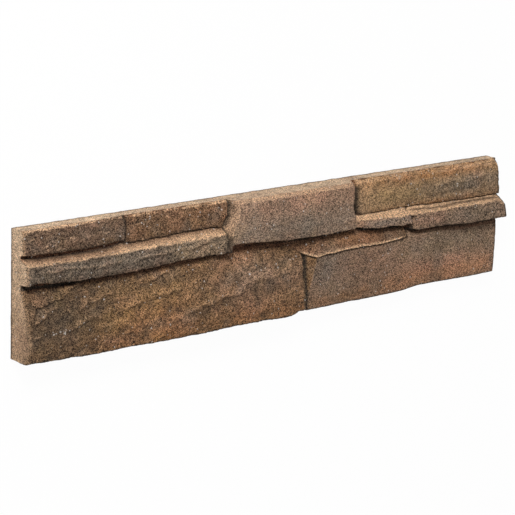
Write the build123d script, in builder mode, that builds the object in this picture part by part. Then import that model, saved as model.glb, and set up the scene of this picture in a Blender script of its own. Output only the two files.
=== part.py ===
"""Wall cladding tile: one cast-stone strip with the relief of nine ledge stones on a flat-backed slab.

The tile lies on its back, face up. X runs along its length, Y up the wall once it is fixed, and Z out of
the wall. The origin is the centre of the back. Places on the face are measured from the lower left corner:
along from the left end, low and high from the bottom edge, proud from the slab's face. All in millimetres.
"""

import os
from math import hypot

from build123d import *

# Overall size, and the slab that carries the stones
tile_length = 500.0
tile_height = 100.0
slab_thickness = 12.0  # also the floor of every joint between stones
stone_bond = 4.0  # how far a stone's root reaches down into the slab
root_inset = 1.5  # how far a root stays inside the slab's bottom edge

# What all the stones share
joint_gap = 1.6  # open joint between two stones
worn_arris = 1.2  # bevel along the lower edge of a stone's face
underside_draft = 0.6  # lean of a stone's underside, so that the mould lets go
worn_end = 2.0  # length over which a stone's face rises at an upright joint
face_crown = 0.035  # swell of a stone's face, as a share of the face's height
flat_crown = 0.01  # the same for the flattest stone, the lower right one
edge_wander = 1.0  # unit by which the edges of a stone stray from a straight line
face_wander = 1.0  # unit by which its face swells and dips along the stone

# Lengths of the stones; the centre stone and the lower left stone take up what is left of the tile
length_upper_left = 96.6
length_upper_middle = 91.8  # to the centre stone's lower left corner
length_upper_right = 171.0
length_ledge_right = 111.0
length_lower_right = 225.0

# Heights of the stones, down from the tile's top edge; the lower stones take up what is left
height_upper_left = 21.5
height_ledge_left = 21.5
height_centre = 40.0
height_upper_right = 29.0
height_chip = 13.0
height_ledge_right = 21.0

# How far each face stands proud of the slab
proud_upper_left = 4.5
proud_upper_middle = 2.5
proud_centre = 12.5
proud_upper_right = 4.5
proud_ledge_left = 10.0
proud_chip = 11.0
proud_ledge_right = 13.0
proud_lower_left = 11.5
proud_lower_right = 8.0

# The slope above each face: its run up the tile
brow_upper_left = 1.6
brow_upper_middle = 1.6
brow_centre = 2.6
brow_upper_right = 4.0
brow_ledge_left = 4.2
brow_chip = 4.6
brow_ledge_right = 4.6
brow_lower_left = 16.0
brow_lower_right = 12.0

# How far a stone's head, above that slope, still stands proud of the slab
head_upper_left = 2.2
head_upper_middle = 0.8
head_centre = 9.2
head_upper_right = 1.0
head_ledge_left = 2.0
head_chip = 4.5
head_ledge_right = 3.5
head_lower_left = 1.5
head_lower_right = 3.0

# Lean of the upright joints: to the right for each millimetre up the tile
lean_upper_left = -0.12
lean_centre_left = 0.22
lean_centre_right = -0.15

# Run of the two end walls that stand open, and reach of the spur beside the lower one
wall_run_centre = 3.3
wall_run_lower = 5.0
spur_reach = 14.0  # how far the lower right stone's shelf reaches left, over the lower left stone
spur_face = 3.2  # height of the spur's face at its root, below the shelf
spur_tip = 3.5  # whole height of its tip

# Upright joints, from the left end
joint_upper_left = length_upper_left
joint_centre_left = length_upper_left + length_upper_middle
joint_centre_right = tile_length - length_upper_right
joint_chip = tile_length - length_ledge_right
joint_lower = tile_length - length_lower_right

# Bed joints, from the bottom edge
bed_upper_left = tile_height - height_upper_left
bed_ledge_left = bed_upper_left - height_ledge_left
bed_centre = tile_height - height_centre
bed_upper_right = tile_height - height_upper_right
bed_chip = bed_upper_right - height_chip
bed_ledge_right = bed_upper_right - height_ledge_right

left_end = -tile_length / 2
bottom_edge = -tile_height / 2


def between_ends(left, right, share):
    """A place along a stone, as a share of the stretch between its two worn ends."""
    return left + worn_end + (right - left - 2 * worn_end) * share


def cross_section(along, low, high, toe, lip, brow, head, lean=0.0, crown=face_crown):
    """One cut across a stone: underside, worn arris, crowned face, sloping brow and head.

    low, high: the stone's lower edge and the upper edge of its brow, up from the tile's bottom edge. A stone
    that overhangs that edge keeps its root in the slab.
    toe, lip: how far the face stands proud of the slab at its lower and its upper edge.
    brow, head: run of the slope above the lip, and how far the stone stands proud above that slope.
    lean: how far the cut leans to the right for each millimetre up the tile.
    crown: swell of the face between toe and lip, as a share of the face's height.
    """
    stretch = hypot(1, lean)
    face_low = low + underside_draft + worn_arris
    face_high = high - brow
    middle = (face_low + face_high) / 2
    swell = crown * (face_high - face_low)
    section = Plane(
        origin=(left_end + along - lean * low, bottom_edge, slab_thickness),
        x_dir=(lean, 1, 0),
        z_dir=(1, -lean, 0),
    )
    with BuildSketch(section) as cut:
        with BuildLine():
            sides = Polyline(
                (face_high * stretch, lip),
                (high * stretch, min(head, lip - worn_arris / 2)),
                (high * stretch, -stone_bond),
                (max(low, root_inset) * stretch, -stone_bond),
                ((low + underside_draft) * stretch, toe - worn_arris),
                (face_low * stretch, toe),
            )
            Spline(sides @ 1, (middle * stretch, (toe + lip) / 2 + swell), sides @ 0)
        make_face()
    return cut.sketch


def upper_left_stone():
    """Plain block at the left end of the top course, its lower edge sagging in the middle."""
    right = joint_upper_left - joint_gap / 2

    def cut(along, sag, toe, lip, lean=0.0):
        return cross_section(
            along,
            bed_upper_left + joint_gap / 2 - sag * edge_wander,
            tile_height,
            proud_upper_left + toe * face_wander,
            proud_upper_left + lip * face_wander,
            brow_upper_left,
            head_upper_left,
            lean,
        )

    return [
        cut(0, -1.2, 0, -0.6),
        cut(between_ends(0, right, 0.3), 0.6, -0.3, -0.9),
        cut(between_ends(0, right, 0.6), 2.0, -0.8, -1.4),
        cut(between_ends(0, right, 1), -0.4, -1.2, -1.8, lean_upper_left),
        cut(right, -0.6, -3.0, -3.6, lean_upper_left),
    ]


def upper_middle_stone():
    """Thinner block beside it, ending on a slant against the centre stone."""
    left = joint_upper_left + joint_gap / 2
    right = joint_centre_left + lean_centre_left * (bed_upper_left - bed_centre)

    def cut(along, sag, toe, lip, lean=0.0):
        return cross_section(
            along,
            bed_upper_left + joint_gap / 2 - sag * edge_wander,
            tile_height,
            proud_upper_middle + toe * face_wander,
            proud_upper_middle + lip * face_wander,
            brow_upper_middle,
            head_upper_middle,
            lean,
        )

    return [
        cut(left, -0.2, -1.6, -2.0, lean_upper_left),
        cut(between_ends(left, right, 0), 0.6, -0.3, -0.7, lean_upper_left),
        cut(between_ends(left, right, 0.15), 1.8, -0.2, -0.6),
        cut(between_ends(left, right, 0.5), 0.2, 0, -0.4),
        cut(between_ends(left, right, 1), 0.4, 0.4, 0, lean_centre_left),
        cut(right, 0.2, -1.5, -1.9, lean_centre_left),
    ]


def left_ledge():
    """Long thin strip below the upper left course, standing well out, with a sloping top."""
    right = joint_centre_left + lean_centre_left * height_ledge_left

    def cut(along, sag, toe, lip):
        return cross_section(
            along,
            bed_ledge_left + joint_gap / 2 - sag * edge_wander,
            bed_upper_left - joint_gap / 2,
            proud_ledge_left + toe * face_wander,
            proud_ledge_left + lip * face_wander,
            brow_ledge_left,
            head_ledge_left,
        )

    return [
        cut(0, 0.6, 0.6, 0.2),
        cut(between_ends(0, right, 0.05), 1.4, 0, -0.2),
        cut(between_ends(0, right, 0.2), 1.9, 0, -0.2),
        cut(between_ends(0, right, 0.4), 2.9, -0.3, -0.5),
        cut(between_ends(0, right, 0.6), 1.9, -0.4, -0.6),
        cut(between_ends(0, right, 0.68), 0.4, -0.6, -0.8),
        cut(right, -0.2, -1.0, -1.2),
    ]


def centre_stone():
    """Largest block of the top, as tall as the ledge and the top course together."""
    left = joint_centre_left
    right = joint_centre_right - joint_gap

    def cut(along, sag, toe, lip, lean=0.0):
        return cross_section(
            along,
            bed_centre + joint_gap / 2 - sag * edge_wander,
            tile_height,
            proud_centre + toe * face_wander,
            proud_centre + lip * face_wander,
            brow_centre,
            head_centre,
            lean,
        )

    return [
        cut(left, -3.4, -9.0, -8.8, lean_centre_left),
        cut(left + wall_run_centre, -3.6, -0.6, -0.4, lean_centre_left),
        cut(between_ends(left, right, 0.2), -2.6, -0.2, 0),
        cut(between_ends(left, right, 0.4), -0.4, 0, 0.2),
        cut(between_ends(left, right, 0.8), 0.2, 0, 0.2),
        cut(between_ends(left, right, 1), 0, -0.3, -0.1, lean_centre_right),
        cut(right, 0, -4.0, -3.8, lean_centre_right),
    ]


def upper_right_stone():
    """Long block at the right of the top course, its face leaning back to a rounded upper edge."""
    left = joint_centre_right + joint_gap
    right = tile_length

    def cut(along, sag, toe, lip, lean=0.0):
        return cross_section(
            along,
            bed_upper_right + joint_gap / 2 - sag * edge_wander,
            tile_height,
            proud_upper_right + toe * face_wander,
            proud_upper_right + lip * face_wander,
            brow_upper_right,
            head_upper_right,
            lean,
        )

    return [
        cut(left, 0.8, -3.0, -4.2, lean_centre_right),
        cut(between_ends(left, right, 0), 0.6, -0.2, -1.4, lean_centre_right),
        cut(between_ends(left, right, 0.3), -0.8, 0, -1.2),
        cut(between_ends(left, right, 0.5), -1.2, 0, -1.2),
        cut(between_ends(left, right, 0.8), 1.6, 0.4, -0.8),
        cut(between_ends(left, right, 1), 3.2, 0.2, -1.0),
        cut(right, 2.6, 0.6, -3.2),
    ]


def chip():
    """Short thin ledge wedged between the centre stone and the right ledge."""
    left = joint_centre_right + joint_gap / 2
    right = joint_chip - joint_gap / 2

    def cut(along, sag, toe, lip):
        return cross_section(
            along,
            bed_chip + joint_gap / 2 - sag * edge_wander,
            bed_upper_right - joint_gap / 2,
            proud_chip + toe * face_wander,
            proud_chip + lip * face_wander,
            brow_chip,
            head_chip,
        )

    return [
        cut(left, -3.2, -2.6, -3.0),
        cut(between_ends(left, right, 0.15), -0.6, -0.2, -0.6),
        cut(between_ends(left, right, 0.6), 0.4, 0, -0.4),
        cut(between_ends(left, right, 1), 0.8, -0.2, -0.6),
        cut(right, 0, -3.5, -3.9),
    ]


def right_ledge():
    """Deep strip at the right, standing further out towards the right end, with an overhanging nose."""
    left = joint_chip + joint_gap / 2
    right = tile_length

    def cut(along, sag, drop, toe, lip):
        return cross_section(
            along,
            bed_ledge_right + joint_gap / 2 - sag * edge_wander,
            bed_upper_right - joint_gap / 2 - drop * edge_wander,
            proud_ledge_right + toe * face_wander,
            proud_ledge_right + lip * face_wander,
            brow_ledge_right,
            head_ledge_right,
        )

    return [
        cut(left, 1.0, 0, -4.5, -3.0),
        cut(between_ends(left, right, 0), 1.0, 0, -0.6, -0.4),
        cut(between_ends(left, right, 0.4), 0.2, 0.4, 0.6, 0),
        cut(between_ends(left, right, 0.7), -0.4, 0.6, 2.0, 0.2),
        cut(between_ends(left, right, 1), -0.4, 2.6, 3.2, 0.6),
        cut(right, -0.2, 3.2, 2.8, -0.2),
    ]


def lower_left_stone():
    """Big slab-like stone of the bottom course; its face swells below and falls back under the left ledge."""
    right = joint_lower - joint_gap

    def cut(along, sag, drop, toe, lip):
        return cross_section(
            along,
            -sag * edge_wander,
            bed_ledge_left - joint_gap / 2 - drop * edge_wander,
            proud_lower_left + toe * face_wander,
            proud_lower_left + lip * face_wander,
            brow_lower_left,
            head_lower_left,
        )

    return [
        cut(0, 0, 1.6, 1.2, -1.6),
        cut(between_ends(0, right, 0.12), 0.9, 3.0, 0.2, -2.2),
        cut(between_ends(0, right, 0.2), 2.0, 3.2, -0.6, -2.2),
        cut(between_ends(0, right, 0.38), 1.4, 3.6, -1.0, -2.2),
        cut(between_ends(0, right, 0.5), 2.6, 3.0, -0.2, -2.4),
        cut(between_ends(0, right, 0.7), 2.4, 1.0, 0.3, -3.0),
        cut(between_ends(0, right, 0.84), 1.3, 0.4, 0.6, -4.0),
        cut(between_ends(0, right, 0.95), 2.0, 0.8, 0.4, -4.8),
        cut(between_ends(0, right, 1), 1.6, 1.2, 0.2, -5.0),
        cut(right, 0.4, 1.2, -3.0, -6.2),
    ]


def lower_right_stone():
    """Big stone at the right of the bottom course; its sloping shelf runs out under the right ledge."""
    left = joint_lower
    shelf_end = joint_chip
    right = tile_length
    shelf_high = bed_chip - joint_gap / 2
    ledge_high = bed_ledge_right - joint_gap / 2
    ledge_brow = brow_lower_right - (shelf_high - ledge_high)

    def shelf_cut(along, sag, drop, toe, lip):
        return cross_section(
            along,
            -sag * edge_wander,
            shelf_high - drop * edge_wander,
            proud_lower_right + toe * face_wander,
            proud_lower_right + lip * face_wander,
            brow_lower_right,
            head_lower_right,
            crown=flat_crown,
        )

    def ledge_cut(along, sag, toe, lip):
        return cross_section(
            along,
            -sag * edge_wander,
            ledge_high,
            proud_lower_right + toe * face_wander,
            proud_lower_right + lip * face_wander,
            ledge_brow,
            head_lower_right / 2,
            crown=flat_crown,
        )

    return [
        shelf_cut(left, 0.4, 0.8, -1.5, -2.5),
        shelf_cut(left + wall_run_lower, 1.2, 0.8, 0, 4.6),
        shelf_cut(between_ends(left, shelf_end, 0.2), 1.5, 0.6, -0.6, 4.2),
        shelf_cut(between_ends(left, shelf_end, 0.45), 2.1, 0, -2.8, 3.0),
        shelf_cut(between_ends(left, shelf_end, 0.7), 2.0, 0.4, -3.0, 2.0),
        shelf_cut(between_ends(left, shelf_end, 1), 2.0, 0.2, -3.8, 1.0),
        ledge_cut(between_ends(shelf_end, right, 0), 1.9, -3.9, 0.8),
        ledge_cut(between_ends(shelf_end, right, 0.25), 0.9, -4.8, -1.4),
        ledge_cut(between_ends(shelf_end, right, 0.6), 1.2, -5.6, -3.8),
        ledge_cut(right, 1.3, -5.6, -5.0),
    ]


def shelf_spur():
    """Spur of that shelf, tapering off to the left over the head of the lower left stone."""
    root = joint_lower + wall_run_lower
    high = bed_chip - joint_gap / 2
    root_lip = proud_lower_right + 4.4 * face_wander
    tip_lip = head_lower_right + 1.4 * face_wander
    return [
        cross_section(
            joint_lower - spur_reach,
            high - spur_tip,
            high,
            tip_lip,
            tip_lip,
            spur_tip / 4,
            head_lower_right,
            crown=flat_crown,
        ),
        cross_section(
            root,
            high - brow_lower_right - spur_face - worn_arris - underside_draft,
            high,
            root_lip,
            root_lip,
            brow_lower_right,
            head_lower_right,
            crown=flat_crown,
        ),
    ]


stones = (
    lower_left_stone,
    lower_right_stone,
    shelf_spur,
    left_ledge,
    chip,
    right_ledge,
    upper_left_stone,
    upper_middle_stone,
    centre_stone,
    upper_right_stone,
)

with BuildPart() as tile:
    Box(tile_length, tile_height, slab_thickness, align=(Align.CENTER, Align.CENTER, Align.MIN))
    for stone in stones:
        loft(stone(), ruled=True)

tile.part.label = "cladding_tile"
os.makedirs("parts", exist_ok=True)
export_step(tile.part, "parts/cladding_tile.step")
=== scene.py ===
import bpy
import numpy as np
from mathutils import Matrix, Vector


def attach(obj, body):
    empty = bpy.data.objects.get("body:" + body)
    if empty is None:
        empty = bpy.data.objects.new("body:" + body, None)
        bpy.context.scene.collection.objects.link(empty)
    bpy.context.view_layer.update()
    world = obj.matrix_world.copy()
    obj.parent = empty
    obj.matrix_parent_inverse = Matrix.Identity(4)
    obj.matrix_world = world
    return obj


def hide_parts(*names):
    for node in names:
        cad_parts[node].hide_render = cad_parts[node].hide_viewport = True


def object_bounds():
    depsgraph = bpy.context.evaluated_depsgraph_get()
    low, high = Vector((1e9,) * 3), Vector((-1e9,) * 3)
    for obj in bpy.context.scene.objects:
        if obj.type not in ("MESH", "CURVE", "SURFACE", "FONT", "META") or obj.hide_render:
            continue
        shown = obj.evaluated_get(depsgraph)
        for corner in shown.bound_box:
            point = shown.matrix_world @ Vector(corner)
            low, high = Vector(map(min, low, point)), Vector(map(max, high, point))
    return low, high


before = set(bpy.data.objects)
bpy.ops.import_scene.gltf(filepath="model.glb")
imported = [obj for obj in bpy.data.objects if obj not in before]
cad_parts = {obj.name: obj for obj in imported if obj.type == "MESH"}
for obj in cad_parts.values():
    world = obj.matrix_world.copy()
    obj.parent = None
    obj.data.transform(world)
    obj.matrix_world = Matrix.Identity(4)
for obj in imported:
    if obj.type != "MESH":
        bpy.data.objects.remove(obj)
cad_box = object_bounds()

# Cast tile
# One pour of pigmented stone mix: a flat-backed slab whose face is moulded from nine split stones, with
# the joints between them only grooves in the same skin. Stain is rubbed into the face and settles in the
# grooves; the ends and the edges keep the pale colour of the mix. Mortar on its back holds it to a wall.
tile_length, tile_height, slab_thickness = 500.0, 100.0, 12.0  # millimetres
wall_draft = 14.0  # fall of a stone's side for each millimetre outwards


def riven(places, cell, seed, octaves=1):
    """Gradient noise from about -1 to 1. Each corner of a lattice of cubes of side `cell` holds a random
    direction; a place takes the dot product of each direction with its own offset from that corner, and
    the eight products are blended by the smooth step 6t^5 - 15t^4 + 10t^3 of its place in the cube. Each
    further octave halves the cell and the weight."""
    lattice, gain = 32, 1.7  # cubes before the lattice repeats, and what brings it to about -1 to 1
    total = np.zeros(places.shape[:-1])
    for octave in range(octaves):
        arrows = np.random.default_rng(seed + 101 * octave).normal(size=(lattice, lattice, lattice, 3))
        arrows /= np.linalg.norm(arrows, axis=-1, keepdims=True)
        place = places * 2.0**octave / cell
        corner = np.floor(place).astype(int)
        offset = place - corner
        fade = offset**3 * (offset * (offset * 6 - 15) + 10)
        for step in np.ndindex(2, 2, 2):
            at = (corner + step) % lattice
            share = np.prod(np.where(step, fade, 1 - fade), axis=-1)
            product = np.sum(arrows[at[..., 0], at[..., 1], at[..., 2]] * (offset - step), axis=-1)
            total += share * product * gain / 2**octave
    return total


def smooth_step(low, high, value):
    """0 below low, 1 above high, and 3t^2 - 2t^3 of the share t between them."""
    t = np.clip((value - low) / (high - low), 0, 1)  # high may lie below low, and then it falls
    return t * t * (3 - 2 * t)


def worn_edge(inside, radius):
    """Drop of a face at a distance inside its edge: a quarter circle of that radius, and a wall beyond it
    that falls by the wall draft for each millimetre outwards."""
    reach = np.clip(inside, 0, radius)
    return radius - np.sqrt(radius**2 - (radius - reach) ** 2) + np.clip(-inside, 0, None) * wall_draft


def level(line, x):
    """Value of a line at x: straight from each of its places to the next, or one number all along."""
    return np.interp(x, *line) if isinstance(line, tuple) else line


def moved(line, shift):
    """The same line with all its values shifted."""
    return line[0], tuple(value + shift for value in line[1])


def stone_top(
    x, y, at, toe, lip, head, foot, crest, top, left=None, right=None, crown=0.035, worn=(1.2, 1.2, 1.2)
):
    """Height of one stone over the tile's back. Foot, crest and top are lines along the tile: its lower
    edge, the line where its face turns back, and its upper edge. The face rises in a line from toe to lip
    and swells between them by a parabola; above the crest it falls in a line from lip to head. Toe, lip and
    head run straight from station to station, and the stations stretch with the ends, which are places
    along the tile, or lines of such places. The foot and both ends drop off by a worn edge each."""
    start = at[0] if left is None else np.interp(y, *left)
    stop = at[-1] if right is None else np.interp(y, *right)
    along = at[0] + (x - start) / (stop - start) * (at[-1] - at[0])
    toe, lip = np.interp(along, at, toe), np.interp(along, at, lip)
    foot, crest, top = level(foot, x), level(crest, x), level(top, x)
    face_height = np.maximum(crest - foot, 0.1)
    up = np.clip((y - foot) / face_height, 0, 1)
    face = toe + (lip - toe) * up + 4 * crown * face_height * up * (1 - up)
    back = np.clip((y - crest) / np.maximum(top - crest, 0.1), 0, 1)
    face = face + (np.minimum(level(head, x), lip - 0.6) - lip) * back
    drop = worn_edge(y - foot, worn[0]) + worn_edge(x - start, worn[1]) + worn_edge(stop - x, worn[2])
    return face - drop - np.clip(y - top, 0, None) * wall_draft


# The beds and joints between the nine stones, as places from the tile's left end and up from its bottom
# edge: a bed gives its height along the tile, a joint its place along the tile at each height
bottom_edge = (
    (0, 6, 28, 40, 56, 104, 114, 170, 191, 228, 246, 259, 266, 274, 278, 326, 340, 384, 408, 433, 470, 500),
    (-0.6, 0.9, 0, -0.3, -1.6, -1.2, -2, -2, -1.2, -1.2, -2, -2, 0.7, 0.5, -1.1, -1.5, -2, -2, 0, -0.4,
     -1.1, -0.7),
)
lower_bed = (
    (0, 11, 20, 35, 47, 66, 99, 119, 144, 187, 192.6, 193.8, 205, 220, 235, 253, 292, 327, 331, 340, 353,
     366, 381, 390.6, 391.4, 410, 436, 470, 500),
    (59.2, 60, 59.6, 57.8, 57.3, 57.2, 56.8, 57.6, 59, 58.6, 59.2, 65, 65, 64, 62.8, 61.6, 60.8, 61.3, 61,
     59.6, 58.5, 58, 57.2, 57, 51.7, 51.3, 50.9, 50.4, 50.4),
)
upper_bed = (
    (0, 35, 57, 79, 94, 99, 118, 136, 153, 190, 260, 332, 342, 353, 366, 379, 396, 413, 430, 454, 486, 500),
    (81.1, 79.5, 78.8, 79.8, 80.2, 78, 78.4, 78.3, 79.6, 79, 79, 70.4, 70.7, 69.9, 70.4, 70.9, 70.7, 70.4,
     69.9, 69.3, 68.6, 69.2),
)
ledge_back = (
    (0, 11, 20, 35, 66, 86, 96, 99, 118, 136, 153, 190),
    (78.4, 77.4, 76.8, 76.4, 76.2, 77.4, 78.8, 77.9, 78.3, 78.2, 79.5, 78.9),
)
lower_left_back = (
    (0, 3.5, 7, 22, 42, 62, 80, 99, 119, 144, 187, 193, 205, 213, 228, 245, 262, 273),
    (58.4, 55.6, 53.8, 54.8, 54, 55.6, 56.8, 56.7, 57.5, 58.8, 58.4, 57, 58, 58.6, 59.6, 59.4, 58.6, 58),
)
shelf_rim = (
    (255.5, 272, 283, 311, 325, 343, 358, 371, 388),
    (54.5, 47, 43.2, 44.8, 45.2, 44.5, 44.2, 44.8, 46),
)
crack = ((78, 81, 84, 89.5, 95, 100), (94.8, 95.2, 95.8, 96.2, 95.2, 93.2))
centre_left = ((58, 64, 72, 80, 88, 95, 100), (188.2, 188.6, 190.0, 192.0, 195.6, 196.4, 196.2))
centre_right = ((60, 64, 71, 74, 80, 89, 94, 100), (333.0, 332.6, 331.8, 329.2, 327.7, 328.0, 328.5, 328.2))
lower_joint = ((0, 6, 20, 33, 45), (274.4, 274.4, 273.3, 274.5, 274.6))
chip_right = ((56, 66), (392.0, 390.8))
right_ledge_left = ((50, 57, 63, 66, 72), (393.6, 393.0, 392.0, 387.0, 386.0))

stone_shapes = {
    "upper_left_stone": dict(
        at=(0, 29.5, 57.1, 93.8, 95.8),
        toe=(16.5, 16.2, 15.7, 15.3, 13.9),
        lip=(15.9, 15.6, 15.1, 14.7, 13.3),
        head=14.2, foot=upper_bed, crest=98.4, top=100,
        right=moved(crack, -0.6), worn=(1.6, 1.6, 1.6),
    ),
    "upper_middle_stone": dict(
        at=(97.4, 99.4, 113, 145, 189.5, 192.5),
        toe=(13.4, 14.2, 14.4, 14.6, 15.0, 13.2),
        lip=(13.0, 13.8, 13.9, 14.1, 14.5, 12.8),
        head=12.6, foot=upper_bed, crest=98.0, top=100,
        left=moved(crack, 0.6), right=moved(centre_left, 1.0), worn=(1.2, 1.6, 2.4),
    ),
    "left_ledge": dict(
        at=(0, 11.5, 39.8, 77.7, 115.5, 130.6, 193.1),
        toe=(22.6, 22, 22, 21.7, 21.6, 21.4, 21),
        lip=(22.2, 21.8, 21.8, 21.5, 21.4, 21.2, 20.8),
        head=((0, 80, 100), (14.0, 14.0, 12.6)), foot=lower_bed, crest=73.7, top=ledge_back,
        worn=(1.2, 2.0, 1.2),
    ),
    "centre_stone": dict(
        at=(188.4, 191.7, 217.4, 244.4, 298.4, 318.0, 321.2, 323.4, 327.4),
        toe=(15.5, 23.9, 24.3, 24.5, 24.5, 24.2, 22.8, 15.5, 14),
        lip=(15.7, 24.1, 24.5, 24.7, 24.7, 24.4, 23.0, 15.5, 14),
        head=21.2, foot=lower_bed, crest=97.4, top=100,
        left=centre_left, right=centre_right, worn=(1.2, 1.2, 0.4),
    ),
    "upper_right_stone": dict(
        at=(330.8, 333.2, 382.2, 415.3, 464.9, 498, 500),
        toe=(13.5, 16.3, 16.5, 16.5, 16.9, 17.2, 18.4),
        lip=(12.3, 15.1, 15.3, 15.3, 15.7, 15.5, 13.3),
        head=12.6, foot=upper_bed, crest=95.5, top=100,
        left=moved(centre_right, 2.4), worn=(1.0, 1.6, 0.8),
    ),
    "chip": dict(
        at=(329.8, 338.8, 364.4, 387.8, 389.6),
        toe=(18.5, 22.8, 23, 22.6, 22.2),
        lip=(18.1, 22.4, 22.6, 22.2, 21.8),
        head=15.0, foot=lower_bed, crest=((330, 352, 378, 389), (67.0, 66.2, 64.5, 64.9)),
        top=moved(upper_bed, -0.2), right=chip_right, worn=(0.8, 1.2, 0.6),
    ),
    "right_ledge": dict(
        at=(389.8, 392.4, 434.3, 466.1, 490, 500),
        toe=(20.5, 24.4, 25.7, 27, 28.0, 28.2),
        lip=(22, 24.6, 25, 25.2, 25.5, 25.6),
        head=14.6, foot=lower_bed, crest=((390, 404, 432, 488, 500), (64.8, 65.7, 66.1, 65.4, 61.8)),
        top=moved(upper_bed, -0.3), left=right_ledge_left, worn=(1.2, 1.2, 0.5),
    ),
    "lower_left_stone": dict(
        at=(0, 34.3, 55.9, 104.4, 136.7, 190.6, 228.3, 257.9, 271.4, 273.4),
        toe=(24.7, 23.7, 22.9, 22.5, 23.3, 23.8, 24.1, 23.9, 23.7, 20.5),
        lip=(21.9, 21.3, 21.3, 21.3, 21.1, 20.5, 19.5, 18.7, 18.5, 17.3),
        head=13.4, foot=bottom_edge,
        crest=(
            (0, 34, 56, 104, 137, 190, 228, 258, 273),
            (38.6, 37.2, 37, 36.6, 37.2, 40, 42.6, 41.6, 39.6),
        ),
        top=lower_left_back, right=moved(lower_joint, -0.7), worn=(1.2, 2.6, 1.2),
    ),
    "lower_right_stone": dict(
        at=(275, 281, 299, 326.5, 354, 384, 391, 417.8, 455.2, 500),
        toe=(20, 20, 19.4, 17.2, 17, 16.2, 16.1, 15.2, 15, 15.6),
        lip=(23.0, 23.0, 22.5, 21.8, 20.8, 19.8, 20.0, 18.6, 16.8, 16.2),
        head=13.5, foot=bottom_edge, crest=((275, 281, 387, 391, 500), (44.4, 44.6, 46.8, 45.2, 45.2)),
        top=((275, 387, 391, 500), (50, 50, 50.8, 50.9)), left=moved(lower_joint, 0.7), crown=0.01,
    ),
    "shelf": dict(
        at=(255.5, 264, 273, 283, 313, 354, 388),
        toe=(14.4, 15.8, 18.6, 24.4, 23.6, 22.2, 21.0),
        lip=(14.6, 16.0, 18.8, 24.6, 23.8, 22.4, 21.2),
        head=14.0, foot=shelf_rim, crest=moved(shelf_rim, 1.0), top=moved(lower_bed, -1.2),
        crown=0, worn=(0.5, 0.8, 1.2),
    ),
}
stone_number = {stone: number for number, stone in enumerate(stone_shapes)}
left_ledge, centre_stone = stone_number["left_ledge"], stone_number["centre_stone"]
lower_right, shelf = stone_number["lower_right_stone"], stone_number["shelf"]

# The grid of the face: columns crowd at the upright joints, rows crowd at the bottom edge, the shelf's rim,
# the two beds and the top edge, and they follow these lines along the tile
columns, rows, depth_steps = 604, (48, 20, 32, 41), 7
ruler = np.linspace(0, tile_length, 5001)  # ten marks to the millimetre
crowded_joints, joint_crowding, joint_reach = (96, 193, 276, 325, 389), 1.2, 5.0
end_crowding, end_reach = 2.0, 1.5
at_joints = np.exp(-(((ruler[:, None] - crowded_joints) / joint_reach) ** 2)).sum(axis=1)
at_ends = np.exp(-ruler / end_reach) + np.exp((ruler - tile_length) / end_reach)
crowding = 1.0 + joint_crowding * at_joints + end_crowding * at_ends
travelled = np.concatenate(([0], np.cumsum((crowding[1:] + crowding[:-1]) / 2)))
column_x = np.interp(np.linspace(0, travelled[-1], columns + 1), travelled, ruler)


def eased(line, reach):
    """A line at the columns, as its mean over five places within the reach each way, which makes slopes of
    its jumps."""
    return np.mean([level(line, column_x + reach * share) for share in (-1, -0.5, 0, 0.5, 1)], axis=0)


chipping = riven(np.stack([column_x, 0 * column_x, 0 * column_x], -1), 9.0, 5, 3)
bottom_edge_y = np.clip(level(bottom_edge, column_x) + 0.3 * chipping, -2.0, 1.8)


def crowded(count):
    """Shares from 0 to 1 in equal steps s, moved by -0.08 sin(2 pi s) so that they crowd at both ends."""
    s = np.arange(count) / count
    return s - 0.08 * np.sin(2 * np.pi * s)


split_line = ((0, 225, *shelf_rim[0], 420, 500), (46, 48, *shelf_rim[1], 43, 42))
top_edge_y = np.full_like(column_x, tile_height)
row_lines = bottom_edge_y, eased(split_line, 1), eased(lower_bed, 4), eased(upper_bed, 4), top_edge_y
bands = [
    below[:, None] + (above - below)[:, None] * crowded(count)
    for below, above, count in zip(row_lines[:-1], row_lines[1:], rows)
]
face_y = np.concatenate([*bands, row_lines[-1][:, None]], axis=1)
face_x = np.repeat(column_x[:, None], face_y.shape[1], axis=1)

# Relief of the face: the stones' edges wander, and their skin is split, pitted and sandy
face_places = np.stack([face_x, face_y, np.zeros_like(face_x)], -1)
over_bottom = face_y - bottom_edge_y[:, None]
inland = np.minimum.reduce([face_x, tile_length - face_x, tile_height - face_y, over_bottom])
calm_edge = smooth_step(0, 5, inland)
wander_x = (0.7 * riven(face_places, 17, 11, 3) + 0.3 * riven(face_places, 4, 12, 2)) * calm_edge
wander_y = (0.6 * riven(face_places, 15, 13, 3) + 0.3 * riven(face_places, 4, 14, 2)) * calm_edge
stray_x, stray_y = face_x + wander_x, face_y + wander_y
heights = np.stack([stone_top(stray_x, stray_y, **shape) for shape in stone_shapes.values()])
facet_x, facet_y, facet_z = 274, 14, 19.6  # on the plane that cuts the lower right stone's left end
facet_rise, facet_fall = 0.534, 0.0844  # of that plane, to the right and upwards
facet = facet_z + facet_rise * (stray_x - facet_x) - facet_fall * (stray_y - facet_y)
on_facet = smooth_step(0.0, 0.4, heights[lower_right] - facet)
heights[lower_right] = np.minimum(heights[lower_right], facet)
stone_index = heights.argmax(axis=0)
groove_floor = slab_thickness + 0.5 + 0.9 * riven(face_places, 6, 21, 2)
face_z = np.maximum(heights.max(axis=0), groove_floor)
in_groove = heights.max(axis=0) < groove_floor

layered = face_places * (1.0, 2.2, 1.0)
splits = 3.0 * riven(layered, 60, 31, 4)
terrace = np.floor(splits) + smooth_step(0.55, 1.0, splits - np.floor(splits)) - splits
relief = 0.70 * riven(layered, 34, 32, 2) + 0.75 * terrace + 0.60 * riven(face_places, 9, 33, 3)
relief += 0.20 - 0.50 * np.abs(riven(face_places, 3.4, 34, 2))


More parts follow.
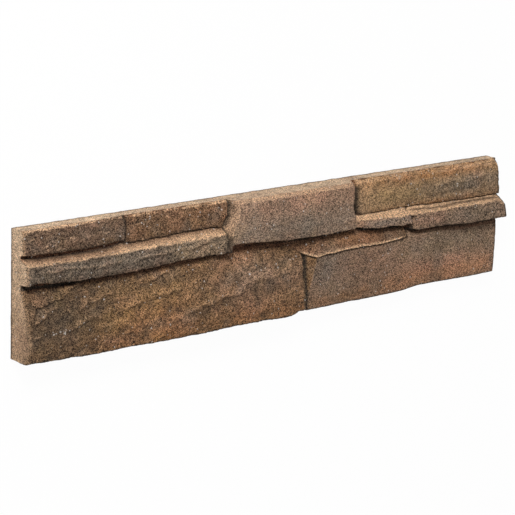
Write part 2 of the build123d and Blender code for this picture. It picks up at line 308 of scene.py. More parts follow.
def beside(line, loose):
    """Height of each place over a line of places that wanders, loosely or less so, and a share that rises
    from 0 to 1 over the first six millimetres of the line and falls so over the last."""
    ends = smooth_step(0, 6, face_x - line[0][0]) * smooth_step(0, 6, line[0][-1] - face_x)
    above = face_y + loose * wander_y - np.interp(face_x + loose * wander_x, *line)
    return above, ends


def flake(line, lift, reach):
    """A lifted flake: along a line of places its lower edge stands up by the lift, and above the line it
    sinks back over the reach. It fades out at both ends of the line."""
    above, ends = beside(line, 3)
    return lift * ends * smooth_step(-0.7, 0.7, above) * (1 - smooth_step(0.7, reach, above))


def seam(line, half_width, loose=1):
    """An open seam: 1 along a line of places, falling as a bell over the half width to each side."""
    above, ends = beside(line, loose)
    return ends * np.exp(-((above / half_width) ** 2))


flakes = (  # the line of each flake's lower edge, its lift and its reach
    (((4, 11, 19, 29, 34, 41, 47, 56), (40.5, 41.9, 42.7, 44.7, 46.7, 49.8, 50.9, 51.5)), 1.7, 9),
    (((48, 56, 65, 69, 82), (36.5, 37.9, 40, 40.8, 43)), 1.3, 9),
    (((30, 40, 52, 59, 70), (21.5, 22.3, 24, 26.4, 29)), 0.9, 8),
    (((3, 8, 14, 21, 30), (28.5, 31, 34.7, 37.1, 38)), 1.3, 6),
    (((90, 110, 128, 150), (30, 33, 34, 39)), 1.1, 10),
    (((104, 122, 140), (46, 47.5, 50)), 1.0, 6),
    (((150, 170, 196, 214), (17, 20, 24, 30)), 1.1, 10),
    (((205, 226, 246, 262), (30, 33, 33.5, 37)), 0.8, 8),
    (((300, 322, 350, 372), (24, 22, 25, 31)), 0.6, 10),
    (((384, 392, 403, 417, 440), (70.8, 72.3, 73.9, 74.9, 75.4)), -0.7, 6),
    (((420, 440, 462, 486), (84, 85.5, 85, 87)), 0.7, 6),
    (((14, 40, 62, 88), (66.5, 67.5, 65.5, 67)), 0.9, 5),
    (((100, 122, 150, 176), (65, 66.5, 67, 69.5)), 0.9, 5),
)
relief += sum(flake(*shape) for shape in flakes)
ledge_seams = seam(((390, 410, 427, 454, 482, 498), (68.2, 67.7, 67.4, 67.6, 67.0, 66.2)), 0.5)
ledge_seams += 0.6 * seam(((470, 484, 499), (57.5, 57.0, 57.4)), 0.5)
split_depths = {
    "upper_left_stone": 1.2, "upper_middle_stone": 1.1, "left_ledge": 1.2, "centre_stone": 0.5,
    "upper_right_stone": 0.9, "chip": 0.8, "right_ledge": 1.0, "lower_left_stone": 1.4,
    "lower_right_stone": 0.35, "shelf": 0.5,
}
split_depth = np.array([split_depths[stone] for stone in stone_shapes])[stone_index]
face_z = face_z + relief * split_depth * np.where(in_groove, 0.3, 1.0) - 0.9 * ledge_seams


def knocked(x, y, depth, reach_x, reach_y):
    """Depth of a knocked corner: a bell round a place, with its own reach each way."""
    return depth * np.exp(-(((face_x - x) / reach_x) ** 2) - ((face_y - y) / reach_y) ** 2)


knocked_corners = knocked(0, 0.6, 4.0, 4.0, 5.0) + knocked(tile_length, tile_height, 2.8, 4.5, 3.5)
highest_z = 1000 * cad_box[1][2]
face_z = np.clip(face_z - knocked_corners, slab_thickness - 1.0, highest_z - 0.02)

# Edges and ends: from the face's rim straight down to the back, a little uneven; the bottom edge draws
# in from the overhanging stones to the slab
steps = np.arange(depth_steps + 1) / depth_steps
top_z = face_z[:, -1:] * (1 - steps)
top_y = np.full_like(top_z, tile_height)
bottom_z = face_z[:, :1] * (1 - steps)
overhang = smooth_step(8, 13, bottom_z)
bottom_y = bottom_edge_y[:, None] * overhang


def end_places(column):
    """Places on one end of the tile: each row of the face is carried down to the back in equal steps, and
    each step's row of places is stretched between the bottom edge and the top edge there."""
    rim_y, rim_z = face_y[column], face_z[column]
    low = bottom_y[column][None, :]
    y = low + (rim_y - rim_y[0])[:, None] / (tile_height - rim_y[0]) * (tile_height - low)
    return y, rim_z[:, None] * (1 - steps)


left_y, left_z = end_places(0)
right_y, right_z = end_places(-1)
face_rows = face_y.shape[1]

# Numbering: every grid shares its rim with its neighbours, so the skin is closed
face_index = np.arange(face_x.size).reshape(face_x.shape)
top_index = np.zeros(top_z.shape, int)
bottom_index = np.zeros(bottom_z.shape, int)
top_index[:, 0], bottom_index[:, 0] = face_index[:, -1], face_index[:, 0]
count = face_x.size
top_index[:, 1:] = count + np.arange(top_z[:, 1:].size).reshape(top_z[:, 1:].shape)
count += top_z[:, 1:].size
bottom_index[:, 1:] = count + np.arange(bottom_z[:, 1:].size).reshape(bottom_z[:, 1:].shape)
count += bottom_z[:, 1:].size
end_index = []
for column in (0, -1):
    index = np.zeros((face_rows, depth_steps + 1), int)
    index[:, 0], index[0], index[-1] = face_index[column], bottom_index[column], top_index[column]
    middle = index[1:-1, 1:]
    middle[:] = count + np.arange(middle.size).reshape(middle.shape)
    count += middle.size
    end_index.append(index)
left_index, right_index = end_index
back_shares = np.array((0.04, 0.96))  # rows of the back between its bottom rim and its top rim
back_inner = count + np.arange((columns - 1) * len(back_shares)).reshape(columns - 1, len(back_shares))
count += back_inner.size
back_index = np.column_stack([bottom_index[1:-1, -1], back_inner, top_index[1:-1, -1]])

places = np.zeros((count, 3))
places[face_index] = np.stack([face_x, face_y, face_z], -1)
edge_x = np.repeat(column_x[:, None], depth_steps, 1)
places[top_index[:, 1:]] = np.stack([edge_x, top_y[:, 1:], top_z[:, 1:]], -1)
places[bottom_index[:, 1:]] = np.stack([edge_x, bottom_y[:, 1:], bottom_z[:, 1:]], -1)
places[back_inner, 0] = column_x[1:-1, None]
places[back_inner, 1] = back_shares * tile_height
inner = np.s_[1:-1, 1:]
places[left_index[inner]] = np.stack([np.zeros_like(left_y), left_y, left_z], -1)[inner]
places[right_index[inner]] = np.stack([np.full_like(right_y, tile_length), right_y, right_z], -1)[inner]

# Uneven edges: the ends and the top edge are drawn in by up to about 0.6 mm, and the last three
# millimetres beside them give way
dents = 0.22 * (1 + riven(places, 12, 41, 3)) + 0.10 * (1 + riven(places, 3, 42, 2))
on_left, on_right = places[:, 0] < 1e-6, places[:, 0] > tile_length - 1e-6
yielding = 3.0
drawn_right = smooth_step(yielding, 0, places[:, 0]) - smooth_step(yielding, 0, tile_length - places[:, 0])
drawn_down = smooth_step(yielding, 0, tile_height - places[:, 1])
places[:, 0] += dents * drawn_right
places[:, 1] -= dents * drawn_down


def quads(index, outward):
    """The four corners of each cell of a grid of numbers, turned so that the face looks outwards."""
    corners = np.stack([index[:-1, :-1], index[1:, :-1], index[1:, 1:], index[:-1, 1:]], -1).reshape(-1, 4)
    return corners if outward else corners[:, ::-1]


back_strips = quads(back_index, False)
left_strip = [top_index[0, -1], *back_index[0, ::-1], *left_index[:-1, -1]]
right_strip = [*right_index[::-1, -1], *back_index[-1]]
skin = np.concatenate(
    [
        quads(face_index, True), quads(top_index, True), quads(bottom_index, False),
        quads(left_index, True), quads(right_index, False), back_strips,
    ]
)
faces = skin.tolist() + [[int(v) for v in left_strip], [int(v) for v in right_strip]]
frame_places = (places - (tile_length / 2, tile_height / 2, 0)) / 1000
tile_mesh = bpy.data.meshes.new("cladding_tile_skin")
tile_mesh.from_pydata(frame_places.tolist(), [], faces)
smooth = np.ones(len(faces), bool)
smooth[len(skin) - len(back_strips):] = False
tile_mesh.polygons.foreach_set("use_smooth", smooth)
tile_mesh.update()
cladding_tile = bpy.data.objects.new("cast_tile", tile_mesh)
bpy.context.scene.collection.objects.link(cladding_tile)

# Colour of the casting: each stone has its own stain, rust-brown and cool grey wash over it in clouds,
# proud edges are rubbed back to the pale mix, tops and left sides are paled further as painted light,
# hollows and overhangs are darkened as painted shade, and the joints are almost black, partly stain and
# partly painted shade


def tone(red, green, blue):
    """A colour given as it looks on a screen, 0 to 255, in linear light."""
    share = np.array((red, green, blue)) / 255
    return np.where(share <= 0.04045, share / 12.92, ((share + 0.055) / 1.055) ** 2.4)


def blend(base, colour, share):
    """The base colour moved towards another by a share at each place."""
    return base + (colour - base) * np.clip(share, 0, 1)[..., None]


def run_mean(field, reach):
    """Mean of a field over a window of that many rows and columns each way, by running sums."""
    for axis in (0, 1):
        padded = np.pad(field, [(reach + 1, reach) if a == axis else (0, 0) for a in (0, 1)], mode="edge")
        sums = np.cumsum(padded, axis=axis)
        size = field.shape[axis]
        high = np.take(sums, np.arange(2 * reach + 1, 2 * reach + 1 + size), axis=axis)
        low = np.take(sums, np.arange(0, size), axis=axis)
        field = (high - low) / (2 * reach + 1)
    return field


def neighbour(field, across, up):
    """The field as it is that many columns and rows away; past the rim it repeats the rim."""
    column = np.clip(np.arange(field.shape[0]) + across, 0, field.shape[0] - 1)
    row = np.clip(np.arange(field.shape[1]) + up, 0, field.shape[1] - 1)
    return field[column][:, row]


pale_mix = tone(188, 162, 136)
# The warm pale mix: the colour of rubbed edges, and of the painted light on tops and left sides
warm_mix_and_painted_light = tone(202, 165, 131)
stone_looks = {
    "upper_left_stone": dict(
        tone=tone(92, 71, 58), pale_and_painted_light=1.0, left_pale_and_painted_light=1.0, sand=1.0, overhang_shadow_share=1.0, foot_shade=0.5,
    ),
    "upper_middle_stone": dict(
        tone=tone(103, 75, 54), pale_and_painted_light=1.0, left_pale_and_painted_light=0.3, sand=1.0, overhang_shadow_share=1.0, foot_shade=0.5,
    ),
    "left_ledge": dict(
        tone=tone(90, 78, 69), pale_and_painted_light=1.25, left_pale_and_painted_light=1.0, sand=1.0, overhang_shadow_share=1.0, foot_shade=0.25,
    ),
    "centre_stone": dict(
        tone=tone(136, 113, 97), pale_and_painted_light=0.62, left_pale_and_painted_light=1.0, sand=0.65, overhang_shadow_share=1.0, foot_shade=0.0,
    ),
    "upper_right_stone": dict(
        tone=tone(156, 127, 97), pale_and_painted_light=0.7, left_pale_and_painted_light=0.0, sand=0.65, overhang_shadow_share=1.0, foot_shade=0.35,
    ),
    "chip": dict(
        tone=tone(132, 112, 100), pale_and_painted_light=1.4, left_pale_and_painted_light=0.2, sand=1.0, overhang_shadow_share=0.6, foot_shade=0.1,
    ),
    "right_ledge": dict(
        tone=tone(118, 98, 84), pale_and_painted_light=1.35, left_pale_and_painted_light=0.0, sand=1.1, overhang_shadow_share=0.6, foot_shade=0.2,
    ),
    "lower_left_stone": dict(
        tone=tone(109, 81, 55), pale_and_painted_light=0.0, left_pale_and_painted_light=0.6, sand=1.0, overhang_shadow_share=1.0, foot_shade=0.0,
    ),
    "lower_right_stone": dict(
        tone=tone(126, 102, 85), pale_and_painted_light=0.2, left_pale_and_painted_light=0.2, sand=0.8, overhang_shadow_share=0.8, foot_shade=0.0,
    ),
    "shelf": dict(
        tone=tone(96, 67, 47), pale_and_painted_light=0.1, left_pale_and_painted_light=0.1, sand=1.0, overhang_shadow_share=0.1, foot_shade=0.0,
    ),
}


def look(name):
    """One value of each stone's looks, spread over the face by the stone that shows there."""
    return np.array([stone_looks[stone][name] for stone in stone_shapes])[stone_index]


rust = tone(142, 92, 50)
burnt = tone(110, 71, 36)
terracotta = tone(150, 106, 78)
cool_grey = tone(97, 92, 88)
rosy = tone(142, 102, 86)
olive = tone(122, 102, 62)
umber_stain_and_shade = tone(61, 47, 36)
straw = tone(152, 128, 102)
facet_tan = tone(106, 75, 43)
groove_and_shade_brown = tone(90, 52, 32)
joint_and_shade_black = tone(18, 11, 7)

clouds = riven(face_places, 38, 51, 4)
wisps = riven(face_places * (1, 1.6, 1), 14, 52, 3)
mottle = riven(face_places, 22, 53, 2)
blush = riven(face_places, 20, 54, 2)


def patch(x, y, reach_x, reach_y):
    """A patch of stain, of white grains or of painted shade: it fades from 1 at a place to 0 about two
    reaches away, as a bell, torn by the clouds.
    """
    bell = np.exp(-(((face_x - x) / reach_x) ** 2) - ((face_y - y) / reach_y) ** 2)
    return np.clip(bell * (1 + 0.5 * wisps + 0.5 * clouds), 0, 1)


face_tone = look("tone")
stains_and_painted_shade = (  # a colour, its strength and where it lies, in the order they are laid on
    (umber_stain_and_shade, 0.90, patch(28, 26, 46, 34)), (umber_stain_and_shade, 0.40, patch(60, 46, 50, 8)),
    (straw, 0.45, patch(165, 66, 28, 9)), (burnt, 0.70, patch(120, 5, 60, 9)),
    (burnt, 0.60, patch(230, 5, 50, 8)), (rust, 0.25, patch(110, 22, 45, 14)),
    (rosy, 0.50, patch(78, 7, 12, 4)), (cool_grey, 0.60, patch(472, 83, 34, 12)),
    # Painted shade: the narrow umber patch at the right end darkens the upper right stone's rounded end
    (umber_stain_and_shade, 0.30, patch(497, 84, 5, 16)), (terracotta, 0.65, patch(445, 7, 80, 9)),
    (terracotta, 0.35, patch(390, 7, 40, 8)), (burnt, 0.45, patch(330, 4, 50, 6)),
    (rosy, 0.45, patch(430, 18, 40, 6)), (cool_grey, 0.50, patch(435, 36, 60, 10)),
    (rust, 0.70, patch(415, 95, 75, 5)), (rust, 0.20, patch(272, 52, 20, 6)),
    (rust, 0.25, patch(330, 54, 45, 6)), (rust, 0.60, patch(430, 70, 60, 4)),
    (cool_grey, 0.60, patch(294, 32, 10, 16)), (rust, 0.50, patch(350, 68, 30, 2.5)),
    (rust, 0.45, patch(334, 63, 4, 4)), (umber_stain_and_shade, 0.40, patch(400, 79, 60, 6)),
    (umber_stain_and_shade, 0.50, patch(20, 20, 30, 25)), (rosy, 0.35, patch(225, 25, 45, 18)),
    (umber_stain_and_shade, 0.25, patch(455, 84, 40, 7)), (umber_stain_and_shade, 0.22, patch(330, 34, 40, 10)),
    (olive, 0.15, patch(110, 38, 40, 12)), (olive, 0.35, patch(385, 84, 40, 9)),
    (olive, 0.20, patch(75, 24, 30, 10)), (cool_grey, 0.30, patch(75, 66, 60, 8)),
    (cool_grey, 0.55, patch(262, 72, 62, 11)), (cool_grey, 0.55, patch(365, 62, 22, 3)),
    (cool_grey, 0.35, patch(465, 58, 40, 6)), (cool_grey, 0.35, patch(300, 32, 30, 16)),
    (straw, 0.20, patch(440, 36, 60, 10)), (cool_grey, 0.40, patch(225, 35, 40, 14)),
    (cool_grey, 0.35, patch(440, 82, 40, 8)), (rosy, 0.40, patch(265, 92, 60, 9)),
    (rosy, 0.30, patch(350, 30, 40, 14)), (rosy, 0.25, patch(120, 12, 30, 7)),
    (rosy, 0.35, patch(410, 60, 20, 6)), (rosy, 0.25, patch(200, 52, 40, 6)),
    # Painted shade: the two groove-brown bands darken the lower stones just under the left ledge and the
    # centre stone
    (groove_and_shade_brown, 0.50, patch(115, 55.5, 85, 3.5)), (groove_and_shade_brown, 0.45, patch(228, 60, 36, 3.5)),
)
for colour, strength, where in stains_and_painted_shade:
    face_tone = blend(face_tone, colour, strength * where)
face_tone = blend(face_tone, facet_tan, 0.8 * on_facet * (stone_index == lower_right))
face_tone = blend(face_tone, olive, 0.12 * smooth_step(0.1, 0.8, mottle))
face_tone = blend(face_tone, rosy, 0.16 * smooth_step(0.1, 0.8, -mottle))
face_tone = blend(face_tone, cool_grey, 0.25 * smooth_step(0.1, 0.8, blush))
dried_gain = (1.12, 1.09, 1.02)  # the stain dries lighter and warmer
face_tone = face_tone * (1 + 0.25 * clouds + 0.15 * wisps)[..., None] * dried_gain
# Painted shade on the left ledge's top, darker towards its back under the stones above
shade_behind_ledge = (stray_y - level(ledge_back, face_x) + 4.5) / 4.0 * (stone_index == left_ledge)
upper_stones = ("upper_left_stone", "upper_middle_stone", "upper_right_stone")
upper_row = [stone_number[stone] for stone in upper_stones]
foot_line = np.where(np.isin(stone_index, upper_row), level(upper_bed, face_x), level(lower_bed, face_x))
over_foot = stray_y - foot_line
# Painted shade: the lowest few millimetres of each stone above its foot are darkened towards umber
at_foot = smooth_step(-0.2, 0.2, over_foot) * smooth_step(4, 0.6, over_foot)
face_tone = blend(face_tone, umber_stain_and_shade, look("foot_shade") * at_foot)

skin_places = np.stack([face_x, face_y, face_z], -1)
facing = np.cross(np.gradient(skin_places, axis=0), np.gradient(skin_places, axis=1))
facing /= np.linalg.norm(facing, axis=-1, keepdims=True)
proud = face_z - run_mean(face_z, 2)
# Painted shade and light on the relief: darker in the hollows and where the relief sinks, lighter where it
# swells
hollow = smooth_step(0.02, 0.5, -proud) * (1 - in_groove)
swell = (relief - run_mean(relief, 9)) * split_depth
face_tone = blend(face_tone, umber_stain_and_shade, np.maximum(0.4 * hollow, 0.55 * smooth_step(0.0, 0.9, -swell)))
face_tone = face_tone * (1 + 0.25 * smooth_step(0.0, 0.9, swell))[..., None]
rubbed = smooth_step(0.05, 0.7, proud) * (0.65 + 0.35 * wisps)
# Painted light: faces that look up, the ledge tops most, are paled; partly the bare pale mix, partly light
# from above
upward = smooth_step(0.35, 0.8, facing[..., 1]) * (0.8 + 0.3 * wisps) * look("pale_and_painted_light")
upward = upward * np.where(stone_index == left_ledge, smooth_step(71.8, 73.4, stray_y), 1)
# Painted light: faces that look left, towards the lamp, are paled too, above all the centre stone's left
# side
leftward = smooth_step(0.35, 0.85, -facing[..., 0]) * (0.6 + 0.3 * wisps) * look("left_pale_and_painted_light")
leftward = leftward * np.where(stone_index == centre_stone, smooth_step(68, 74, stray_y), 1)
# Painted highlight: a pale line along the front of the shelf's rim
rim_line = np.exp(-(((stray_y - np.interp(stray_x, *shelf_rim) - 0.9) / 1.1) ** 2))
rim_line *= (stone_index == shelf) * smooth_step(268, 276, face_x) * smooth_step(388, 376, face_x)
# Rubbed wear on proud places, painted light on tops and left sides, and the rim's painted highlight, as one
# share
pale_and_painted_light = np.minimum(np.maximum.reduce([0.30 * rubbed, 0.85 * upward, 0.6 * leftward, 1.0 * rim_line]), 0.95)
face_tone = blend(face_tone, warm_mix_and_painted_light, pale_and_painted_light)

# Painted shadow and shade: brown as the cast shadow under every overhang and at the back of the left
# ledge's top, with the brown stain of the wide grooves; black as painted shade in the crevices under higher
# stones, along the joints on the side that lies lower (with some stain), under the flakes, and on edges
# that face down or drop off to the right
nothing_over = -9.0
overhang_rise = np.full_like(face_z, nothing_over)
crevice_rise = np.full_like(face_z, nothing_over)
crevice_slope = ((0, 45, 70, 240, 265, 375, 390, 500), (1.25, 1.3, 2, 2.2, 2.2, 2.0, 2.4, 2.2))
crevice_share = ((0, 45, 65, 190, 240, 265, 375, 390, 500), (1, 1, 0.6, 0.4, 0.35, 0.9, 1, 0.6, 0.6))
for ahead in range(1, 17):
    rise = neighbour(face_z, 0, ahead) - face_z
    away = neighbour(face_y, 0, ahead) - face_y
    overhang_rise = np.maximum(overhang_rise, rise - 0.9 * away)
    other = neighbour(stone_index, 0, ahead) != stone_index
    over_slope = np.where(other, rise - level(crevice_slope, face_x) * away, nothing_over)
    crevice_rise = np.maximum(crevice_rise, over_slope)
# Painted shade: black in the crevice just below a higher stone's foot
crevice = smooth_step(0.1, 1.3, crevice_rise) * level(crevice_share, face_x)
# Painted shadow: brown below a place that rises above a slope of 0.9 within sixteen rows up the face
painted_overhang_shadow = smooth_step(0.8, 5.0, overhang_rise) * (0.85 + 0.3 * wisps) * look("overhang_shadow_share")
by_groove = smooth_step(0.05, 0.5, run_mean(in_groove.astype(float), 1))
groove_stain_and_shadow = np.maximum.reduce([0.9 * painted_overhang_shadow, 0.9 * by_groove, 0.6 * smooth_step(0, 1, shade_behind_ledge)])
face_tone = blend(face_tone, groove_and_shade_brown, groove_stain_and_shadow)

# Dark along each joint on its lower side, within about 1.7 mm of the higher stone: stain and painted shade
joint = np.zeros_like(face_z)
near_border = np.zeros_like(face_z)
columns_aside, rows_aside = 3, 6  # how far a place looks for a higher neighbour
for across, up in np.ndindex(2 * columns_aside + 1, 2 * rows_aside + 1):
    there = across - columns_aside, up - rows_aside
    rise = neighbour(face_z, *there) - face_z
    distance = np.hypot(neighbour(face_x, *there) - face_x, neighbour(face_y, *there) - face_y)
    there_index = neighbour(stone_index, *there)
    ramp = (there_index == shelf) & (face_x < 272)
    other = (there_index != stone_index) & ~ramp
    joint = np.maximum(joint, other * smooth_step(0.3, 1.6, rise) * smooth_step(1.7, 0.8, distance))
    near_border = np.maximum(near_border, other * smooth_step(3.2, 2.0, distance))
# Painted shade on edges that drop off to the right
right_edge_shade = np.zeros_like(face_z)
for across in range(1, 7):
    drop = face_z - neighbour(face_z, across, 0)
    distance = neighbour(face_x, across, 0) - face_x
    right_edge_shade = np.maximum(right_edge_shade, smooth_step(0.8, 2.4, drop) * smooth_step(2.8, 1.6, distance))
# Painted shadow under the lower edge of each flake
flake_shade = sum(abs(lift) / 2 * seam(moved(line, -0.6), 1.2, 3) for line, lift, _ in flakes)


def upright_shade_and_stain(line, half_width):
    """Painted shade and stain in an upright joint: 1 along the line of its places, falling as a bell to
    each side.
    """
    away = stray_x - np.interp(stray_y, *line)
    ends = smooth_step(-2, 1, face_y - line[0][0]) * smooth_step(-2, 1, line[0][-1] - face_y)
    return ends * np.exp(-((away / half_width) ** 2))


upper_joint = centre_right[0][2:-1], centre_right[1][2:-1]
lower_gap = (lower_joint[0], (276.8, 276.6, 275.4, 275.2, 275.0))  # where it shows beside the higher stone
ledge_end = moved((centre_left[0][:3], centre_left[1][:3]), 2.6)
middle_end = moved((centre_left[0][3:], centre_left[1][3:]), -0.4)
rim_part = shelf_rim[0][2:], shelf_rim[1][2:]
# Dark lines in the upright joints, partly stain and partly painted shade; beside the centre stone's right
# end the band is the painted shadow it casts on the upper right stone
upright_joint_shade_and_stain = np.maximum.reduce(
    [
        upright_shade_and_stain(crack, 1.6), upright_shade_and_stain(lower_gap, 1.7),
        upright_shade_and_stain(moved(upper_joint, 3.6), 3.3),
        0.8 * upright_shade_and_stain(ledge_end, 1.5), 0.85 * upright_shade_and_stain(middle_end, 1.3),
    ]
)
# Painted shade: a dark line along the upper stones' foot on the left ledge, and a shadow line under the
# shelf's rim
bed_shade_lines = np.maximum(0.85 * seam(moved(ledge_back, 0.2), 0.9), 0.6 * seam(moved(rim_part, -0.9), 0.8))
# Painted shade on faces that look down or to the right, and along the right end and the bottom edge
downward = smooth_step(0.45, 0.85, -facing[..., 1])
rightward = smooth_step(0.30, 0.75, facing[..., 0])
right_end_shade = 0.85 * smooth_step(2.6, 0.6, tile_length - face_x)
bottom_edge_shade = 0.8 * smooth_step(2.2, 0.3, over_bottom)
# All the dark marks: the painted shade above, the joint stain and the dark seam lines on the right ledge
painted_shade_and_joint_stain = np.maximum.reduce(
    [
        0.95 * joint, 0.95 * right_edge_shade * near_border, 0.8 * ledge_seams,
        0.28 * flake_shade * (1 + 1.5 * wisps), downward * (0.25 + 0.55 * near_border),
        0.8 * rightward * near_border, 0.95 * upright_joint_shade_and_stain, 0.95 * crevice,
        right_end_shade, bottom_edge_shade, bed_shade_lines,
    ]
)
face_tone = blend(face_tone, joint_and_shade_black, np.minimum(painted_shade_and_joint_stain, 0.95))

# The ends, the edges and the back: the bare mix, darker towards the bottom of the ends, stained towards the
# front, and darker along the rim at the back
skin_tone = np.tile(pale_mix, (count, 1))
skin_tone *= (1 + 0.16 * riven(places, 30, 61, 3) + 0.24 * riven(places, 7, 62, 3))[:, None]
darker_low_on_ends = smooth_step(110, 5, places[:, 1]) * np.where(on_left | on_right, 1, 0)
skin_tone += (tone(150, 118, 88) - skin_tone) * (0.6 * darker_low_on_ends)[:, None]
blotches = 0.45 * smooth_step(-0.1, 0.7, riven(places, 22, 63, 3))
skin_tone += (tone(158, 126, 104) - skin_tone) * blotches[:, None]
front_stain = smooth_step(50, 5, places[:, 1]) * smooth_step(5, 20, places[:, 2]) * on_left
front_stain = 0.55 * front_stain * (1 + riven(places, 16, 64, 3))
skin_tone += (tone(112, 84, 64) - skin_tone) * front_stain[:, None]
darker_back_rim = 0.75 * smooth_step(np.where(on_left, 1.9, 3.2), 0.6, places[:, 2]) * (places[:, 1] > 1)
skin_tone += (umber_stain_and_shade - skin_tone) * darker_back_rim[:, None]
skin_tone[face_index] = face_tone
sandiness = np.full(count, 0.5)
sandiness[face_index] = look("sand") * (1 - 0.5 * pale_and_painted_light)
# The face's colour, with its painted light and shade, and its sandiness, on each point
tones = np.concatenate([np.clip(skin_tone, 0.002, 0.8), sandiness[:, None]], axis=1).astype(np.float32)
tile_mesh.attributes.new("stain_and_painted_light", "FLOAT_COLOR", "POINT").data.foreach_set("color", tones.ravel())
# White grains: a few all over, a streak of them on the lower left stone and a spot on the chip
flecks = np.full(count, 0.02)
flecks[face_index] += 1.30 * patch(28, 21.5, 9, 1.3) + 0.45 * patch(385, 64, 4, 4)
tile_mesh.attributes.new("fleck", "FLOAT", "POINT").data.foreach_set("value", flecks.astype(np.float32))


class Finish:
    """A socket of a node tree. Arithmetic on it adds Math nodes; node() adds any other node."""

    def __init__(self, tree, socket=None):
        """Keeps the tree and the socket; the tree alone is where its first nodes come from."""
        self.tree, self.socket = tree, socket

    def node(self, kind, settings=(), sockets=(), out=0):
        """A new node: its settings first, then a link or a plain value on each socket named. Gives the
        output asked for, or none where the node has no outputs."""
        made = self.tree.nodes.new(kind)
        for name, value in dict(settings).items():
            setattr(made, name, value)
        for name, value in dict(sockets).items():
            if isinstance(value, Finish):
                self.tree.links.new(value.socket, made.inputs[name])
            else:
                made.inputs[name].default_value = value
        return Finish(self.tree, made.outputs[out] if len(made.outputs) else None)

    def output(self, name):
        """Another output of the same node."""
        return Finish(self.tree, self.socket.node.outputs[name])

    def math(self, operation, first, second):
        """A Math node of two values, such as the lesser of them, or 1 where the first is the greater."""
        return self.node("ShaderNodeMath", {"operation": operation}, {0: first, 1: second})

    def __add__(self, other):
        """This value plus the other."""
        return self.math("ADD", self, other)

    def __radd__(self, other):
        """The other value plus this."""
        return self.math("ADD", other, self)

    def __sub__(self, other):
        """This value less the other."""
        return self.math("SUBTRACT", self, other)

    def __rsub__(self, other):
        """The other value less this."""
        return self.math("SUBTRACT", other, self)

    def __mul__(self, other):
        """This value times the other."""
        return self.math("MULTIPLY", self, other)

    def __rmul__(self, other):
        """The other value times this."""
        return self.math("MULTIPLY", other, self)

    def __rpow__(self, other):
        """The other value to the power of this."""
        return self.math("POWER", other, self)


# The sandy skin: grains of two sizes darken or lighten the stain, a few white chips lie among them, and
# the same grains stand up as a fine bump
cast_stone = bpy.data.materials.new("cast_stone")
cast_stone.use_nodes = True
cast_stone.node_tree.nodes.clear()
mix = Finish(cast_stone.node_tree)
place = mix.node("ShaderNodeTexCoord", out="Object")
stain_and_painted_light = mix.node("ShaderNodeAttribute", {"attribute_name": "stain_and_painted_light"}, out="Color")
sandy = stain_and_painted_light.output("Alpha")
fleck = mix.node("ShaderNodeAttribute", {"attribute_name": "fleck"}, out="Fac")
grains = mix.node("ShaderNodeTexVoronoi", {}, {"Vector": place, "Scale": 1450.0}, out="Color")
small_grains = mix.node("ShaderNodeTexVoronoi", {}, {"Vector": place, "Scale": 2200.0}, out="Color")
grit = mix.node(
    "ShaderNodeTexNoise", {}, {"Vector": place, "Scale": 420.0, "Detail": 3.0, "Roughness": 0.65}
)
grain_tone = mix.node("ShaderNodeSeparateColor", {}, {"Color": grains}, out="Red")
small_tone = mix.node("ShaderNodeSeparateColor", {}, {"Color": small_grains}, out="Red")
contrast = (grain_tone - 0.5) * 3.3 + (small_tone - 0.5) * 4.0 + (grit - 0.5) * 0.3
speckle = contrast * sandy
natural_base = 2.718
pits = natural_base ** mix.math("MINIMUM", speckle, 0.0)
pitted = mix.node("ShaderNodeVectorMath", {"operation": "SCALE"}, {0: stain_and_painted_light, "Scale": pits})
bright_gain, bright_lift = (1.9, 1.85, 1.75), (0.068, 0.054, 0.036)
bright_grain = mix.node(
    "ShaderNodeVectorMath", {"operation": "MULTIPLY_ADD"}, {0: stain_and_painted_light, 1: bright_gain, 2: bright_lift}
)
proud_grains = mix.node("ShaderNodeClamp", {}, {"Value": speckle * 0.9})
colour_mix = {"data_type": "RGBA"}
share, under, over, mixed_colour = 0, 6, 7, 2  # its sockets for colours
tinted = mix.node(
    "ShaderNodeMix", colour_mix, {share: proud_grains, under: pitted, over: bright_grain}, out=mixed_colour
)
white_chips = mix.node("ShaderNodeTexVoronoi", {}, {"Vector": place, "Scale": 1000.0}, out="Color")
chip_tone = mix.node("ShaderNodeSeparateColor", {}, {"Color": white_chips}, out="Red")
white_grain = mix.math("GREATER_THAN", chip_tone + fleck * 0.22, 1.0)
chip_white = (0.62, 0.56, 0.50, 1)
whitened = white_grain * 0.8
colour = mix.node(
    "ShaderNodeMix", colour_mix, {share: whitened, under: tinted, over: chip_white}, out=mixed_colour
)
relief_height = grit * 0.6 - grains.output("Distance") * 0.8 - small_grains.output("Distance") * 0.35
skin_bump = mix.node("ShaderNodeBump", {}, {"Strength": 0.8, "Distance": 0.0008, "Height": relief_height})
dull = 0.84 + (grit - 0.5) * 0.25
stone = mix.node(
    "ShaderNodeBsdfPrincipled",
    {},
    {"Base Color": colour, "Roughness": dull, "Specular IOR Level": 0.3, "Normal": skin_bump},
)
mix.node("ShaderNodeOutputMaterial", {}, {"Surface": stone})
tile_mesh.materials.append(cast_stone)
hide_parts("cladding_tile")
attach(cladding_tile, "root")

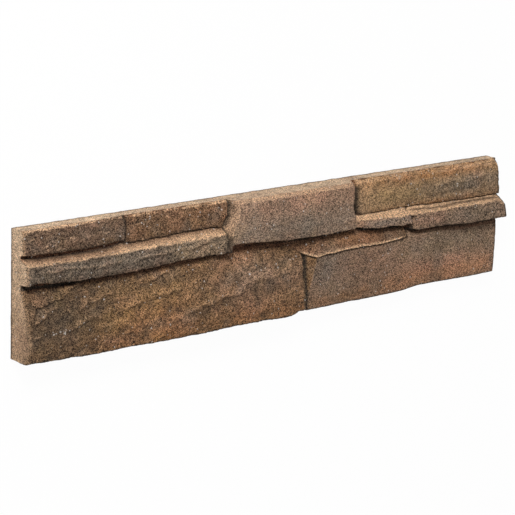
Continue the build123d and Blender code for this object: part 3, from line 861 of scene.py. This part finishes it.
# Floor
# A plain pale studio floor that the tile lies on. It is white to the camera, and keeps a soft shadow of
# the tile by a share of plain diffuse floor.
floor_half = 6.0
floor_mesh = bpy.data.meshes.new("floor")
corner_signs = np.array([(-1, -1, 0), (1, -1, 0), (1, 1, 0), (-1, 1, 0)])
floor_mesh.from_pydata((corner_signs * floor_half).tolist(), [], [[0, 1, 2, 3]])
floor = bpy.data.objects.new("floor", floor_mesh)
bpy.context.scene.collection.objects.link(floor)
pale_floor = bpy.data.materials.new("pale_floor")
pale_floor.use_nodes = True
pale_floor.node_tree.nodes.clear()
paint = Finish(pale_floor.node_tree)
seen = paint.node("ShaderNodeLightPath", out="Is Camera Ray")
mirrored = paint.node("ShaderNodeLightPath", out="Is Glossy Ray")
through = paint.node("ShaderNodeLightPath", out="Is Transmission Ray")
matt = paint.node("ShaderNodeBsdfDiffuse", {}, {"Color": (0.86, 0.85, 0.83, 1)})
white = paint.node("ShaderNodeEmission", {}, {"Color": (1, 1, 1, 1), "Strength": 1.0})
direct = paint.node("ShaderNodeClamp", {}, {"Value": seen + mirrored + through})
mixed = paint.node("ShaderNodeMixShader", {}, {0: direct * 0.97, 1: matt, 2: white})
paint.node("ShaderNodeOutputMaterial", {}, {"Surface": mixed})
floor_mesh.materials.append(pale_floor)

# Studio light
# One broad soft lamp above the tile's upper left, a weak one in front of it, and an even pale room. The
# lamps are square panels of cloth-white light that face the tile; the room is white to the camera.


def soft_lamp(name, towards, distance, size, brightness):
    """A square area lamp at a distance in a direction from the tile, turned to face it. Its power gives a
    white surface that faces it, at the tile, that brightness: it is pi squared times the distance squared
    times the brightness."""
    lamp = bpy.data.lights.new(name, "AREA")
    lamp.shape, lamp.size = "SQUARE", size
    lamp.energy = brightness * np.pi**2 * distance**2
    away = np.array(towards) / np.linalg.norm(towards)
    side = np.cross((0, 0, 1), away)
    side /= np.linalg.norm(side)
    turned = np.stack([side, np.cross(away, side), away], 1)
    stand = bpy.data.objects.new(name, lamp)
    stand.matrix_world = Matrix.Translation(away * distance) @ Matrix(turned.tolist()).to_4x4()
    bpy.context.scene.collection.objects.link(stand)


soft_lamp("key_lamp", (-0.50, 0.68, 0.62), 2.0, 0.6, 0.94)
soft_lamp("fill_lamp", (-0.2, -0.4, 0.9), 2.4, 1.6, 0.15)
room = bpy.data.worlds.new("room")
bpy.context.scene.world = room
room.use_nodes = True
room.node_tree.nodes.clear()
air = Finish(room.node_tree)
sighted = air.node("ShaderNodeLightPath", out="Is Camera Ray")
even_light = air.node("ShaderNodeBackground", {}, {"Color": (1, 1, 1, 1), "Strength": 0.24})
white_wall = air.node("ShaderNodeBackground", {}, {"Color": (1, 1, 1, 1), "Strength": 1.0})
wall = air.node("ShaderNodeMixShader", {}, {0: sighted, 1: even_light, 2: white_wall})
air.node("ShaderNodeOutputWorld", {}, {"Surface": wall})

# Camera
# A long lens that looks at the tile's face from its left and a little from above it, turned so that the
# tile's top edge is up in the picture, which is 515 pixels wide. Lengths are in millimetres.
yaw, pitch, roll = np.radians((41.249, 13.768, 1.768))
focal_pixels, picture_pixels, sensor = 2368.6, 515, 36.0
shift_right, shift_up, stand_off = 7.509, 6.767, 1901.607
behind = np.array((-np.sin(yaw) * np.cos(pitch), np.sin(pitch), np.cos(yaw) * np.cos(pitch)))
level_right = np.cross((0, 1, 0), behind)
level_right /= np.linalg.norm(level_right)
level_up = np.cross(behind, level_right)
view_right = np.cos(roll) * level_right + np.sin(roll) * level_up
view_up = np.cos(roll) * level_up - np.sin(roll) * level_right
eye = (stand_off * behind - shift_right * view_right - shift_up * view_up) / 1000
lens = bpy.data.cameras.new("camera")
lens.sensor_width, lens.lens = sensor, sensor * focal_pixels / picture_pixels
camera = bpy.data.objects.new("camera", lens)
view_axes = np.stack([view_right, view_up, behind], 1)
camera.matrix_world = Matrix.Translation(eye) @ Matrix(view_axes.tolist()).to_4x4()
bpy.context.scene.collection.objects.link(camera)
bpy.context.scene.camera = camera
bpy.context.scene.view_settings.view_transform = "Standard"
